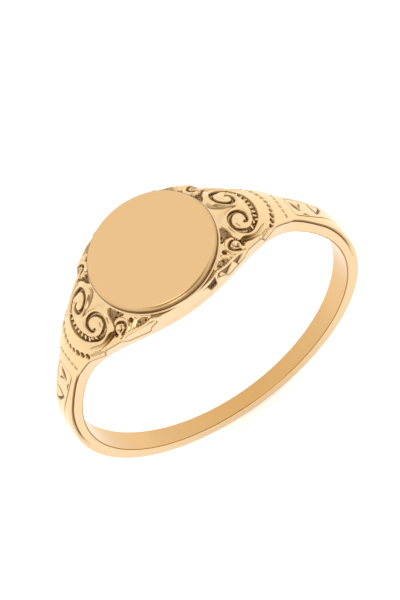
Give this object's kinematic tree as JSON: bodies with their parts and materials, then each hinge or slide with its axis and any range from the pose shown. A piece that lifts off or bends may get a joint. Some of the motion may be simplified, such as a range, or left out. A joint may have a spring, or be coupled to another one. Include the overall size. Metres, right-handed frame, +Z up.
{
  "type": "signet ring",
  "caption": "Dainty gold signet ring: plain oval face on a ledge and gallery, scroll-struck shoulders and a slim tapering hoop.",
  "frame": {"origin": "centre of the finger hole, midway between the band's two sides", "axes": "+Z up through the middle of the face, Y along the finger, X from shoulder to shoulder"},
  "size_m": [0.0186, 0.0072, 0.02],
  "materials": {
    "hoop_gold": "polished yellow gold with light wear",
    "gallery_gold": "bright polished yellow gold",
    "struck_gold": "die-struck yellow gold, darker in its recesses",
    "face_gold": "flat polished yellow gold with fine scratches"
  },
  "bodies": {
    "root": {"hoop": "hoop_gold", "gallery": "gallery_gold", "shoulder_left": "struck_gold", "shoulder_right": "struck_gold", "plate_ledge": "gallery_gold", "face_plate": "face_gold"}
  },
  "joints": []
}
